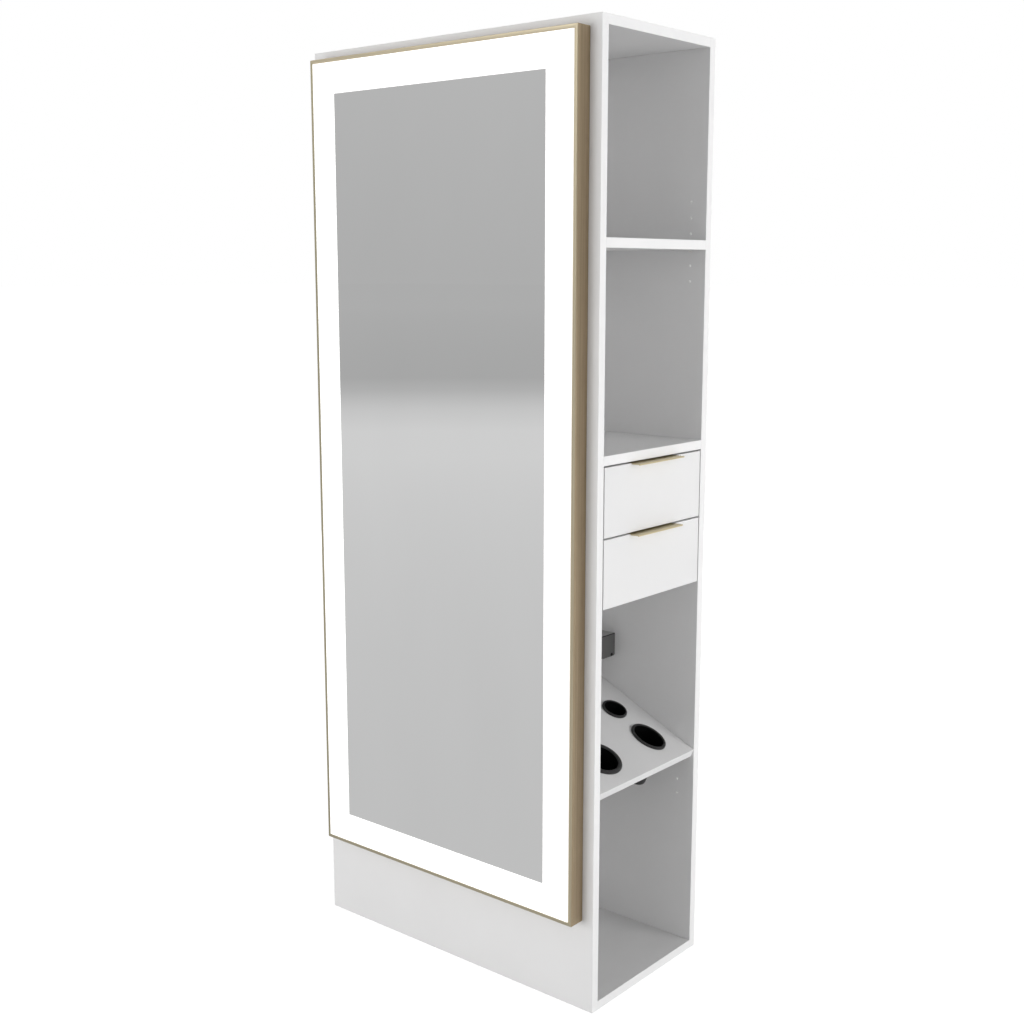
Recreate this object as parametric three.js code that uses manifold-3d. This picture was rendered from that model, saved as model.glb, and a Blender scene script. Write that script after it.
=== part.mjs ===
// Double sided salon station: a tall cabinet with a lit mirror on each long face
// and open storage at each end.
// Millimetres, +Z up. The origin is on the floor under the middle of the cabinet.
// +X points out of the right-hand storage end, and -Y out of the front mirror.
import * as THREE from 'three';
import { mergeVertices } from 'three/addons/utils/BufferGeometryUtils.js';
import Module from 'manifold-3d';

const wasm = await Module();
wasm.setup();

// Cabinet
const cabinetWidth = 762;
const cabinetDepth = 381;
const cabinetHeight = 1943;
const boardThickness = 19;

// Gaps: between fixed boards, round pieces set at a slope, and round a drawer front
const boardGap = 0.1;
const slopeGap = 0.3;
const reveal = 3.5;

// Storage end, from the top panel and the floor
const upperShelfDrop = 377;
const drawerShelfTop = 1138;
const toolBayHeight = 375;

// Drawers
const drawerCount = 2;
const drawerFrontHeight = 137.5;
const drawerRearGap = 52;
const drawerBoxHeight = 105;
const drawerBoxLift = 12;
const drawerWall = 12;
const drawerFloor = 8;

// Two-part drawer slides
const slideThickness = 12.7;
const slideHeight = 45;
const slideSheet = 1.5;
const slideFlange = 9.5;
const slideRunningGap = 0.4;
const slideFrontGap = 2;

// Tab pulls let into the top edge of the drawer fronts
const pullLength = 158;
const pullReach = 19.5;
const pullFlange = 12;
const pullSheet = 2;
const pullLip = 3;

// Sloping tool shelf and its cups
const toolShelfSlope = THREE.MathUtils.degToRad(25.5);
const holderWall = 3;
const holderFloor = 3;
const holderRimHeight = 5;
const holderBottomRadius = 3;
const holderClearance = 0.6;
const holderFrontRow = 76;
const holderRearRow = 176;
const holderFromRightWall = 76;
const holderFromLeftWall = 93.1;
const dryerRimRadius = 48;
const dryerHoleRadius = 38.4;
const dryerDepth = 78;
const curlerRimRadius = 38.1;
const curlerHoleRadius = 32.4;
const curlerDepth = 105;
const curlerOval = 1.11;
const ironRimRadius = 28.8;
const ironHoleRadius = 24.4;
const ironDepth = 105;

// Facets: round a full turn, and along each arc of a cup's section
const roundSegments = 32;
const arcSteps = 4;

// Outlet box on the right-hand wall of the tool bay
const outletLength = 102;
const outletHeight = 52;
const outletDepth = 49;
const outletCorner = 5;
const outletFromPartition = 56;
const outletLift = 23;

// Mirror
const mirrorSideMargin = 26.5;
const mirrorTopMargin = 20.8;
const mirrorBottomMargin = 193.2;
const frameDepth = 38;
const frameLip = 8.3;
const frameLedge = 8;
const glassProud = 1;
const glassThickness = 5;
const lightBandWidth = 64.2;
const lightBandSeat = 6;
const backingSheet = 3;
const backingWall = 12;
const backingSkin = 6;
const ledStripWidth = 12;
const ledStripThickness = 2;
const driverLength = 180;
const driverHeight = 48;
const driverThickness = 20;

// Places that several pieces share
const endX = cabinetWidth / 2;
const partitionX = boardThickness / 2 + boardGap;
const insideY = cabinetDepth / 2 - boardThickness;
const topUnderside = cabinetHeight - boardThickness;
const drawerPitch = drawerFrontHeight + reveal;
const drawersTop = drawerShelfTop - boardThickness - reveal;
const drawersBottom = drawersTop - drawerCount * drawerPitch + reveal;
const toolShelfFrontTop = drawersBottom - toolBayHeight;
const drawerBoxFrontX = endX - boardThickness - boardGap;
const drawerBoxRearX = partitionX + drawerRearGap;
const drawerBoxHalfWidth = insideY - slideThickness - 2 * boardGap;

// Materials
const whiteLaminate = new THREE.MeshStandardMaterial({ color: 0xeeeeec, roughness: 0.45, metalness: 0 });
const champagneMetal = new THREE.MeshStandardMaterial({ color: 0x9c8a6c, roughness: 0.35, metalness: 1 });
const paleGold = new THREE.MeshStandardMaterial({ color: 0xd8c69c, roughness: 0.3, metalness: 1 });
const mirrorSilver = new THREE.MeshStandardMaterial({ color: 0xd6dadb, roughness: 0.02, metalness: 1 });
const litAcrylic = new THREE.MeshStandardMaterial({ color: 0xffffff, roughness: 0.4, emissive: 0xffffff });
const blackPlastic = new THREE.MeshStandardMaterial({ color: 0x1c1c1c, roughness: 0.4, metalness: 0 });
const greyPlastic = new THREE.MeshStandardMaterial({ color: 0x4e4e4c, roughness: 0.5, metalness: 0 });
const slideSteel = new THREE.MeshStandardMaterial({ color: 0xb4b6b8, roughness: 0.4, metalness: 1 });
const backingBoard = new THREE.MeshStandardMaterial({ color: 0xd9d9d6, roughness: 0.6, metalness: 0 });

// Geometry turned into a solid that can be joined or cut
function toSolid(geometry) {
  const plain = geometry.clone();
  plain.deleteAttribute('normal');
  plain.deleteAttribute('uv');
  const merged = mergeVertices(plain, 1e-4);
  const vertProperties = new Float32Array(merged.attributes.position.array);
  const triVerts = new Uint32Array(merged.index.array);
  return new wasm.Manifold(new wasm.Mesh({ numProp: 3, vertProperties, triVerts }));
}

function toGeometry(solid) {
  const mesh = solid.getMesh();
  const geometry = new THREE.BufferGeometry();
  geometry.setAttribute('position', new THREE.BufferAttribute(new Float32Array(mesh.vertProperties), 3));
  geometry.setIndex(new THREE.BufferAttribute(new Uint32Array(mesh.triVerts), 1));
  geometry.computeVertexNormals();
  return geometry;
}

function addPiece(group, name, geometry, material) {
  const mesh = new THREE.Mesh(geometry, material);
  mesh.name = name;
  group.add(mesh);
}

// A block between two limits along each axis
function block([x0, x1], [y0, y1], [z0, z1]) {
  const geometry = new THREE.BoxGeometry(x1 - x0, y1 - y0, z1 - z0);
  geometry.translate((x0 + x1) / 2, (y0 + y1) / 2, (z0 + z1) / 2);
  return geometry;
}

// An outline drawn in X and Z, extruded between two places along Y
function extrudeAlongY(outline, y0, y1) {
  const geometry = new THREE.ExtrudeGeometry(outline, { depth: y1 - y0, bevelEnabled: false });
  const xAxis = new THREE.Vector3(1, 0, 0);
  const zAxis = new THREE.Vector3(0, 0, 1);
  const extrusionAxis = new THREE.Vector3(0, -1, 0);
  geometry.applyMatrix4(new THREE.Matrix4().makeBasis(xAxis, zAxis, extrusionAxis));
  geometry.translate(0, y1, 0);
  return geometry;
}

// An outline drawn in Y and Z, extruded between two places along X
function extrudeAlongX(outline, x0, x1) {
  const options = { depth: x1 - x0, bevelEnabled: false, curveSegments: arcSteps };
  const geometry = new THREE.ExtrudeGeometry(outline, options);
  const yAxis = new THREE.Vector3(0, 1, 0);
  const zAxis = new THREE.Vector3(0, 0, 1);
  const extrusionAxis = new THREE.Vector3(1, 0, 0);
  geometry.applyMatrix4(new THREE.Matrix4().makeBasis(yAxis, zAxis, extrusionAxis));
  geometry.translate(x0, 0, 0);
  return geometry;
}

function outlineOf(points) {
  return new THREE.Shape(points.map(([u, v]) => new THREE.Vector2(u, v)));
}

// Cabinet boards

function addCabinet(group) {
  const width = [-endX, endX];
  const between = [-insideY + boardGap, insideY - boardGap];
  const inside = [boardThickness + boardGap, topUnderside - boardGap];
  const fullHeight = [0, cabinetHeight];
  const partition = [-boardThickness / 2, boardThickness / 2];
  addPiece(group, 'front_panel', block(width, [-cabinetDepth / 2, -insideY], fullHeight), whiteLaminate);
  addPiece(group, 'back_panel', block(width, [insideY, cabinetDepth / 2], fullHeight), whiteLaminate);
  addPiece(group, 'top_panel', block(width, between, [topUnderside, cabinetHeight]), whiteLaminate);
  addPiece(group, 'bottom_panel', block(width, between, [0, boardThickness]), whiteLaminate);
  addPiece(group, 'centre_partition', block(partition, between, inside), whiteLaminate);
}

// Shelves of one storage end, drawn for the end that faces +X

function shelfGeometry(top) {
  const across = [-insideY + boardGap, insideY - boardGap];
  return block([partitionX, endX], across, [top - boardThickness, top]);
}

function addShelves(group, end) {
  const upperShelfTop = topUnderside - upperShelfDrop;
  addPiece(group, `${end}_upper_shelf`, shelfGeometry(upperShelfTop), whiteLaminate);
  addPiece(group, `${end}_drawer_shelf`, shelfGeometry(drawerShelfTop), whiteLaminate);
}

// Drawers

function drawerFrontGeometry(top) {
  const halfWidth = insideY - reveal;
  const board = block([endX - boardThickness, endX], [-halfWidth, halfWidth], [top - drawerFrontHeight, top]);
  const rebateHalf = pullLength / 2 + boardGap;
  const rebateRearX = endX - pullFlange - boardGap;
  const rebateFloor = top - pullSheet - boardGap;
  const rebate = block([rebateRearX, endX + reveal], [-rebateHalf, rebateHalf], [rebateFloor, top + reveal]);
  return toGeometry(toSolid(board).subtract(toSolid(rebate)));
}

function drawerBoxGeometry(bottom) {
  const top = bottom + drawerBoxHeight;
  const half = drawerBoxHalfWidth;
  const outer = block([drawerBoxRearX, drawerBoxFrontX], [-half, half], [bottom, top]);
  const insideX = [drawerBoxRearX + drawerWall, drawerBoxFrontX - drawerWall];
  const insideWidth = [-half + drawerWall, half - drawerWall];
  const inner = block(insideX, insideWidth, [bottom + drawerFloor, top + drawerWall]);
  return toGeometry(toSolid(outer).subtract(toSolid(inner)));
}

function pullGeometry(top) {
  const rear = endX - pullFlange;
  const tip = endX + pullReach;
  const outline = outlineOf([
    [rear, top],
    [rear, top - pullSheet],
    [tip - pullSheet, top - pullSheet],
    [tip - pullSheet, top - pullLip],
    [tip, top - pullLip],
    [tip, top],
  ]);
  return extrudeAlongY(outline, -pullLength / 2, pullLength / 2);
}

// A channel on the cabinet wall, open towards the drawer; side is -1 on the left and 1 on the right
function railGeometry(side, middle) {
  const wall = insideY - boardGap;
  const half = slideHeight / 2;
  const profile = [
    [0, -half],
    [slideFlange, -half],
    [slideFlange, -half + slideSheet],
    [slideSheet, -half + slideSheet],
    [slideSheet, half - slideSheet],
    [slideFlange, half - slideSheet],
    [slideFlange, half],
    [0, half],
  ];
  const outline = outlineOf(profile.map(([out, up]) => [side * (wall - out), middle + up]));
  return extrudeAlongX(outline, drawerBoxRearX, drawerBoxFrontX - slideFrontGap);
}

// A narrower channel on the drawer side, running inside the rail
function runnerGeometry(side, middle) {
  const wall = insideY - boardGap;
  const half = slideHeight / 2 - slideSheet - slideRunningGap;
  const back = slideSheet + slideRunningGap;
  const profile = [
    [slideThickness, -half],
    [slideThickness, half],
    [back, half],
    [back, half - slideSheet],
    [slideThickness - slideSheet, half - slideSheet],
    [slideThickness - slideSheet, -half + slideSheet],
    [back, -half + slideSheet],
    [back, -half],
  ];
  const outline = outlineOf(profile.map(([out, up]) => [side * (wall - out), middle + up]));
  return extrudeAlongX(outline, drawerBoxRearX, drawerBoxFrontX - slideFrontGap);
}

function addDrawer(group, drawer, frontTop) {
  const boxBottom = frontTop - drawerFrontHeight + drawerBoxLift;
  const slideMiddle = boxBottom + drawerBoxHeight / 2;
  addPiece(group, `${drawer}_front`, drawerFrontGeometry(frontTop), whiteLaminate);
  addPiece(group, `${drawer}_box`, drawerBoxGeometry(boxBottom), whiteLaminate);
  addPiece(group, `${drawer}_pull`, pullGeometry(frontTop), paleGold);
  for (const [hand, side] of [['left', -1], ['right', 1]]) {
    addPiece(group, `${drawer}_rail_${hand}`, railGeometry(side, slideMiddle), slideSteel);
    addPiece(group, `${drawer}_runner_${hand}`, runnerGeometry(side, slideMiddle), slideSteel);
  }
}

// Tool shelf and cups, in a frame whose origin is the middle of the shelf's front top edge,
// with local X out along the slope and local Z square to the board

const toolHolders = [
  {
    name: 'dryer_holder', rim: dryerRimRadius, hole: dryerHoleRadius, depth: dryerDepth, oval: 1,
    row: holderFrontRow, across: -insideY + holderFromLeftWall,
  },
  {
    name: 'curler_holder', rim: curlerRimRadius, hole: curlerHoleRadius, depth: curlerDepth, oval: curlerOval,
    row: holderFrontRow, across: insideY - holderFromRightWall,
  },
  {
    name: 'iron_holder', rim: ironRimRadius, hole: ironHoleRadius, depth: ironDepth, oval: 1,
    row: holderRearRow, across: insideY - holderFromRightWall,
  },
];

// From round to oval, longer down the slope than across it, and to its place on the shelf
function placeHolder(geometry, { oval, row, across }) {
  geometry.rotateX(Math.PI / 2);
  geometry.scale(oval, 1 / oval, 1);
  geometry.translate(-row, across, 0);
  return geometry;
}

// Half section of a cup, from the middle of its base, up the outside, over the rim and down the inside
function holderGeometry({ rim, hole, depth }) {
  const body = hole + holderWall;
  const rimRound = (rim - hole) / 2;
  const rimMiddle = hole + rimRound;
  const rimStep = holderRimHeight - rimRound / 2;
  const points = [new THREE.Vector2(0, -depth)];
  for (let step = 0; step <= arcSteps; step += 1) {
    const angle = (step / arcSteps) * (Math.PI / 2);
    const out = body - holderBottomRadius + holderBottomRadius * Math.sin(angle);
    const up = -depth + holderBottomRadius - holderBottomRadius * Math.cos(angle);
    points.push(new THREE.Vector2(out, up));
  }
  points.push(new THREE.Vector2(body, slopeGap));
  points.push(new THREE.Vector2(rim, slopeGap));
  for (let step = 0; step <= arcSteps; step += 1) {
    const angle = (step / arcSteps) * Math.PI;
    const out = rimMiddle + rimRound * Math.cos(angle);
    const up = rimStep + (rimRound / 2) * Math.sin(angle);
    points.push(new THREE.Vector2(out, up));
  }
  points.push(new THREE.Vector2(hole, -depth + holderFloor + holderBottomRadius / 2));
  points.push(new THREE.Vector2(hole - holderBottomRadius / 2, -depth + holderFloor));
  points.push(new THREE.Vector2(0, -depth + holderFloor));
  return new THREE.LatheGeometry(points, roundSegments);
}

function toolShelfGeometry() {
  const run = endX - partitionX - slopeGap;
  const rearTop = -run / Math.cos(toolShelfSlope);
  const rearBottom = rearTop + boardThickness * Math.tan(toolShelfSlope);
  const outline = outlineOf([
    [0, 0],
    [rearTop, 0],
    [rearBottom, -boardThickness],
    [0, -boardThickness],
  ]);
  let board = toSolid(extrudeAlongY(outline, -insideY + slopeGap, insideY - slopeGap));
  for (const holder of toolHolders) {
    const radius = holder.hole + holderWall + holderClearance;
    const drill = new THREE.CylinderGeometry(radius, radius, 3 * boardThickness, roundSegments);
    board = board.subtract(toSolid(placeHolder(drill, holder)));
  }
  return toGeometry(board);
}

function addToolShelf(group, end) {
  const slope = new THREE.Group();
  slope.position.set(endX, 0, toolShelfFrontTop);
  slope.rotation.y = toolShelfSlope;
  addPiece(slope, `${end}_tool_shelf`, toolShelfGeometry(), whiteLaminate);
  for (const holder of toolHolders) {
    const geometry = placeHolder(holderGeometry(holder), holder);
    addPiece(slope, `${end}_${holder.name}`, geometry, blackPlastic);
  }
  group.add(slope);
}

// Outlet box, a block with rounded edges on the wall

function roundedOutline(y0, y1, z0, z1, radius) {
  const outline = new THREE.Shape();
  outline.moveTo(y0 + radius, z0);
  outline.lineTo(y1 - radius, z0);
  outline.absarc(y1 - radius, z0 + radius, radius, -Math.PI / 2, 0);
  outline.lineTo(y1, z1 - radius);
  outline.absarc(y1 - radius, z1 - radius, radius, 0, Math.PI / 2);
  outline.lineTo(y0 + radius, z1);
  outline.absarc(y0 + radius, z1 - radius, radius, Math.PI / 2, Math.PI);
  outline.lineTo(y0, z0 + radius);
  outline.absarc(y0 + radius, z0 + radius, radius, Math.PI, 1.5 * Math.PI);
  return outline;
}

function addOutletBox(group, end) {
  const rearX = partitionX + outletFromPartition;
  const wall = insideY - boardGap;
  const bottom = toolShelfFrontTop + (endX - rearX) * Math.tan(toolShelfSlope) + outletLift;
  const outline = roundedOutline(wall - outletDepth, wall, bottom, bottom + outletHeight, outletCorner);
  addPiece(group, `${end}_outlet_box`, extrudeAlongX(outline, rearX, rearX + outletLength), greyPlastic);
}

function storageEnd(end) {
  const group = new THREE.Group();
  addShelves(group, end);
  for (let index = 0; index < drawerCount; index += 1) {
    const level = index === 0 ? 'upper' : 'lower';
    addDrawer(group, `${end}_${level}_drawer`, drawersTop - index * drawerPitch);
  }
  addToolShelf(group, end);
  addOutletBox(group, end);
  return group;
}

// Mirror unit for the face towards -Y; depths are measured out from the cabinet panel

const mirrorHalfWidth = endX - mirrorSideMargin;
const mirrorBottom = mirrorBottomMargin;
const mirrorTop = cabinetHeight - mirrorTopMargin;
const glassFront = frameDepth + glassProud;
const glassBack = glassFront - glassThickness;

// A rectangle set in from the frame's outer edge
function insetRectangle(inset, Kind) {
  const half = mirrorHalfWidth - inset;
  const low = mirrorBottom + inset;
  const high = mirrorTop - inset;
  const corners = [[-half, low], [half, low], [half, high], [-half, high]];
  return new Kind(corners.map(([x, z]) => new THREE.Vector2(x, z)));
}

function mirrorSlab(outerInset, innerInset, depth0, depth1) {
  const outline = insetRectangle(outerInset, THREE.Shape);
  if (innerInset !== null) {
    outline.holes.push(insetRectangle(innerInset, THREE.Path));
  }
  const panelFace = -cabinetDepth / 2;
  return extrudeAlongY(outline, panelFace - depth1, panelFace - depth0);
}

function frameGeometry() {
  const ledgeFront = glassBack - boardGap;
  const rear = mirrorSlab(0, frameLip + frameLedge, boardGap, ledgeFront);
  const lip = mirrorSlab(0, frameLip, ledgeFront, frameDepth);
  return toGeometry(toSolid(rear).add(toSolid(lip)));
}

// A pan whose rim holds the lights and whose skin carries the glass; it is open towards the cabinet
function backingGeometry() {
  const panFront = glassBack - boardGap;
  const panInset = frameLip + lightBandWidth - lightBandSeat;
  const rim = mirrorSlab(frameLip + frameLedge + boardGap, null, boardGap, backingSheet);
  const pan = mirrorSlab(panInset, null, backingSheet, panFront);
  const hollow = mirrorSlab(panInset + backingWall, null, 0, panFront - backingSkin);
  return toGeometry(toSolid(rim).add(toSolid(pan)).subtract(toSolid(hollow)));
}

function ledStripGeometry() {
  const channelOuter = frameLip + frameLedge;
  const channelInner = frameLip + lightBandWidth - lightBandSeat;
  const outer = (channelOuter + channelInner - ledStripWidth) / 2;
  const seat = backingSheet + boardGap;
  return mirrorSlab(outer, outer + ledStripWidth, seat, seat + ledStripThickness);
}

function driverGeometry() {
  const middle = (mirrorBottom + mirrorTop) / 2;
  const panelFace = -cabinetDepth / 2;
  const across = [-driverLength / 2, driverLength / 2];
  const up = [middle - driverHeight / 2, middle + driverHeight / 2];
  return block(across, [panelFace - boardGap - driverThickness, panelFace - boardGap], up);
}

function mirrorUnit(face) {
  const group = new THREE.Group();
  const bandInner = frameLip + lightBandWidth;
  const band = mirrorSlab(frameLip + boardGap, bandInner, glassBack, glassFront);
  const glass = mirrorSlab(bandInner + boardGap, null, glassBack, glassFront);
  addPiece(group, `${face}_mirror_frame`, frameGeometry(), champagneMetal);
  addPiece(group, `${face}_light_band`, band, litAcrylic);
  addPiece(group, `${face}_mirror_glass`, glass, mirrorSilver);
  addPiece(group, `${face}_mirror_backing`, backingGeometry(), backingBoard);
  addPiece(group, `${face}_led_strip`, ledStripGeometry(), litAcrylic);
  addPiece(group, `${face}_led_driver`, driverGeometry(), greyPlastic);
  return group;
}

// The station: the left end and the back mirror are the right end and the front mirror turned half round

const station = new THREE.Group();
addCabinet(station);
station.add(storageEnd('right'));
const leftEnd = storageEnd('left');
leftEnd.rotation.z = Math.PI;
station.add(leftEnd);
station.add(mirrorUnit('front'));
const backMirror = mirrorUnit('back');
backMirror.rotation.z = Math.PI;
station.add(backMirror);

export default station;
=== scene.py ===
import math

import bmesh
import bpy
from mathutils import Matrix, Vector


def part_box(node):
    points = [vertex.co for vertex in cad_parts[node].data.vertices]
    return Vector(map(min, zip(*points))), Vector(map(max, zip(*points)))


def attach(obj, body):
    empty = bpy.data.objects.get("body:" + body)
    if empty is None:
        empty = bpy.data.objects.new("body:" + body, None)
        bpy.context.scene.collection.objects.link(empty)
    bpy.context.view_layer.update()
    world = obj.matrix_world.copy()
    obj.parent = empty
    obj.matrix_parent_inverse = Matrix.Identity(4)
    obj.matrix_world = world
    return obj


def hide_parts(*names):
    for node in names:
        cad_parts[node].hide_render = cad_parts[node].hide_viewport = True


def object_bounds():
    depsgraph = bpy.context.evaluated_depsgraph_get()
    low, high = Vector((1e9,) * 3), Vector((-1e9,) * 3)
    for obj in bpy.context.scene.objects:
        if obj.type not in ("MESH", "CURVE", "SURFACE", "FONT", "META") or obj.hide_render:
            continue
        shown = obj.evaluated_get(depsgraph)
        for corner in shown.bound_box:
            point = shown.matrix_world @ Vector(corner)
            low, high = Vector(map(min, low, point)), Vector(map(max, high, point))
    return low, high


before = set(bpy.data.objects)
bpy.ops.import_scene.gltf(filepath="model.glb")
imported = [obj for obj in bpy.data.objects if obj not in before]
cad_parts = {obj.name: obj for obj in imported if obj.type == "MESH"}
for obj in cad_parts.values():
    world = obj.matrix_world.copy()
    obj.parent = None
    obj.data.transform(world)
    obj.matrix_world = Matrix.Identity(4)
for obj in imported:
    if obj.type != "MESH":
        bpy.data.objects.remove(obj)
cadLow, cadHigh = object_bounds()
print("frame loaded:", len(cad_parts), "nodes")


# Selecting and modelling

near = 1e-4  # places closer than this count as one
facing = 0.9  # least part of a face's normal along an axis, where the face is square to it
leaning = 0.7  # and where it only leans that way
sharpEdge = math.radians(32)  # edges at least this sharp are eased


def useOnly(piece):
    bpy.ops.object.select_all(action="DESELECT")
    piece.select_set(True)
    bpy.context.view_layer.objects.active = piece


def applyPlace(piece):  # its place goes into the mesh, and the object stays at the origin
    useOnly(piece)
    bpy.ops.object.transform_apply(location=True, rotation=True, scale=True)
    return piece


def newPiece(name):  # the primitive that was just added
    piece = bpy.context.object
    piece.name = name
    piece.data.name = name
    return applyPlace(piece)


def addBlock(name, low, high):
    low, high = Vector(low), Vector(high)
    bpy.ops.object.select_all(action="DESELECT")
    bpy.ops.mesh.primitive_cube_add(size=1, location=(low + high) / 2, scale=high - low)
    return newPiece(name)


def addDisc(name, radius, height, sides):  # a filled circle that faces +Z
    bpy.ops.object.select_all(action="DESELECT")
    bpy.ops.mesh.primitive_circle_add(vertices=sides, radius=radius, fill_type="NGON",
                                      location=(0, 0, height))
    return newPiece(name)


def startEdit(piece):
    useOnly(piece)
    bpy.ops.object.mode_set(mode="EDIT")


def endEdit():
    bpy.ops.object.mode_set(mode="OBJECT")


def pickAll():
    bpy.ops.mesh.select_mode(type="FACE")
    bpy.ops.mesh.select_all(action="SELECT")


def pickFaces(test):  # test gets each face's middle and normal
    bpy.ops.mesh.select_mode(type="FACE")
    bpy.ops.mesh.select_all(action="DESELECT")
    shape = bmesh.from_edit_mesh(bpy.context.object.data)
    for face in shape.faces:
        face.select_set(bool(test(face.calc_center_median(), face.normal)))
    bmesh.update_edit_mesh(bpy.context.object.data)


def pickEdges(test):  # test gets the places of each edge's two ends
    bpy.ops.mesh.select_mode(type="EDGE")
    bpy.ops.mesh.select_all(action="DESELECT")
    shape = bmesh.from_edit_mesh(bpy.context.object.data)
    for edge in shape.edges:
        edge.select_set(bool(test(edge.verts[0].co, edge.verts[1].co)))
    bmesh.update_edit_mesh(bpy.context.object.data)


def ringEdges(radius, height):  # picks the edges of one ring round the Z axis
    def onRing(point):
        return abs(point.xy.length - radius) < near and abs(point.z - height) < near

    pickEdges(lambda start, end: onRing(start) and onRing(end))


def extrude(x=0, y=0, z=0):
    bpy.ops.mesh.extrude_region_move(TRANSFORM_OT_translate={"value": (x, y, z)})


def scaleTo(share):  # towards the Z axis or away from it
    bpy.ops.transform.resize(value=(share, share, 1), center_override=(0, 0, 0))


def roundEdges(width, steps):
    bpy.ops.mesh.bevel(offset=width, segments=steps, affect="EDGES")


def cutAt(place, normal):  # a line of new edges where a plane crosses the piece
    bpy.ops.mesh.select_all(action="SELECT")
    bpy.ops.mesh.bisect(plane_co=place, plane_no=normal)


def faceOutwards():
    bpy.ops.mesh.select_all(action="SELECT")
    bpy.ops.mesh.normals_make_consistent(inside=False)


def applyModifier(piece, kind, **settings):
    useOnly(piece)
    modifier = piece.modifiers.new(kind.lower(), kind)
    for name, value in settings.items():
        setattr(modifier, name, value)
    bpy.ops.object.modifier_apply(modifier=modifier.name)


def easeEdges(piece, width, steps=2):
    applyModifier(piece, "BEVEL", width=width, segments=steps, limit_method="ANGLE",
                  angle_limit=sharpEdge, use_clamp_overlap=True)


def cutAway(piece, cutter):
    applyModifier(piece, "BOOLEAN", operation="DIFFERENCE", solver="EXACT", object=cutter)
    bpy.data.objects.remove(cutter)


def smooth(piece, angle=50):
    useOnly(piece)
    bpy.ops.object.shade_smooth_by_angle(angle=math.radians(angle))
    applyModifier(piece, "WEIGHTED_NORMAL", keep_sharp=True)


def joinPieces(name, pieces):
    bpy.ops.object.select_all(action="DESELECT")
    for piece in pieces:
        piece.select_set(True)
    bpy.context.view_layer.objects.active = pieces[0]
    bpy.ops.object.join()
    pieces[0].name = name
    pieces[0].data.name = name
    return pieces[0]


def copyOf(piece, name, move=(0, 0, 0), turn=0):  # the copy has its own mesh; turn is about Z
    useOnly(piece)
    bpy.ops.object.duplicate(linked=False)
    copy = bpy.context.object
    copy.location = move
    copy.rotation_euler = (0, 0, turn)
    copy.name = name
    copy.data.name = name
    return applyPlace(copy)


def paint(piece, *finishes):
    piece.data.materials.clear()
    for finish in finishes:
        piece.data.materials.append(finish)


def fit(piece, body, slot, *nodes):
    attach(piece, body)
    if nodes:
        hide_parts(*nodes)


# Finishes

noiseReach = (0.3, 0.7)  # most of a noise's values lie between these
toneStops = (0.32, 0.68)  # where a surface's two tones are full
driftDetail = 3.0
fineDetail = 2.0
glossFiner = 2.3  # gloss drifts over smaller patches than tone


def newFinish(name):
    finish = bpy.data.materials.new(name)
    finish.use_nodes = True
    return finish, finish.node_tree, finish.node_tree.nodes["Principled BSDF"]


def noiseNode(tree, scale, detail=fineDetail, stretch=(1, 1, 1)):
    place = tree.nodes.new("ShaderNodeTexCoord")
    mapping = tree.nodes.new("ShaderNodeMapping")
    mapping.inputs["Scale"].default_value = stretch
    noise = tree.nodes.new("ShaderNodeTexNoise")
    noise.inputs["Scale"].default_value = scale
    noise.inputs["Detail"].default_value = detail
    tree.links.new(place.outputs["Object"], mapping.inputs["Vector"])
    tree.links.new(mapping.outputs["Vector"], noise.inputs["Vector"])
    return noise


def rangeNode(tree, source, low, high, reach=noiseReach):  # low to high, as the source goes over its reach
    spread = tree.nodes.new("ShaderNodeMapRange")
    for name, value in (("From Min", reach[0]), ("From Max", reach[1]), ("To Min", low), ("To Max", high)):
        spread.inputs[name].default_value = value
    tree.links.new(source, spread.inputs["Value"])
    return spread.outputs["Result"]


def rampNode(tree, source, stops):
    ramp = tree.nodes.new("ShaderNodeValToRGB")
    points = ramp.color_ramp.elements
    while len(points) < len(stops):
        points.new(0.5)
    for point, (position, colour) in zip(points, stops):
        point.position = position
        point.color = (*colour, 1)
    tree.links.new(source, ramp.inputs["Fac"])
    return ramp.outputs["Color"]


def paintedFrontLight(tree, tones, gain, reach):  # painted light: the sides are painted paler towards the mirror frames' front edges
    front = -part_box("front_mirror_frame")[0].y
    place = tree.nodes.new("ShaderNodeTexCoord")
    parts = tree.nodes.new("ShaderNodeSeparateXYZ")
    tree.links.new(place.outputs["Object"], parts.inputs[0])
    depth = tree.nodes.new("ShaderNodeMath")  # the same on both mirrors
    depth.operation = "ABSOLUTE"
    tree.links.new(parts.outputs["Y"], depth.inputs[0])
    paler = tree.nodes.new("ShaderNodeVectorMath")
    paler.operation = "SCALE"
    tree.links.new(tones, paler.inputs[0])
    strength = rangeNode(tree, depth.outputs[0], 1, gain, (front - reach, front))
    tree.links.new(strength, paler.inputs["Scale"])
    return paler.outputs["Vector"]


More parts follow.
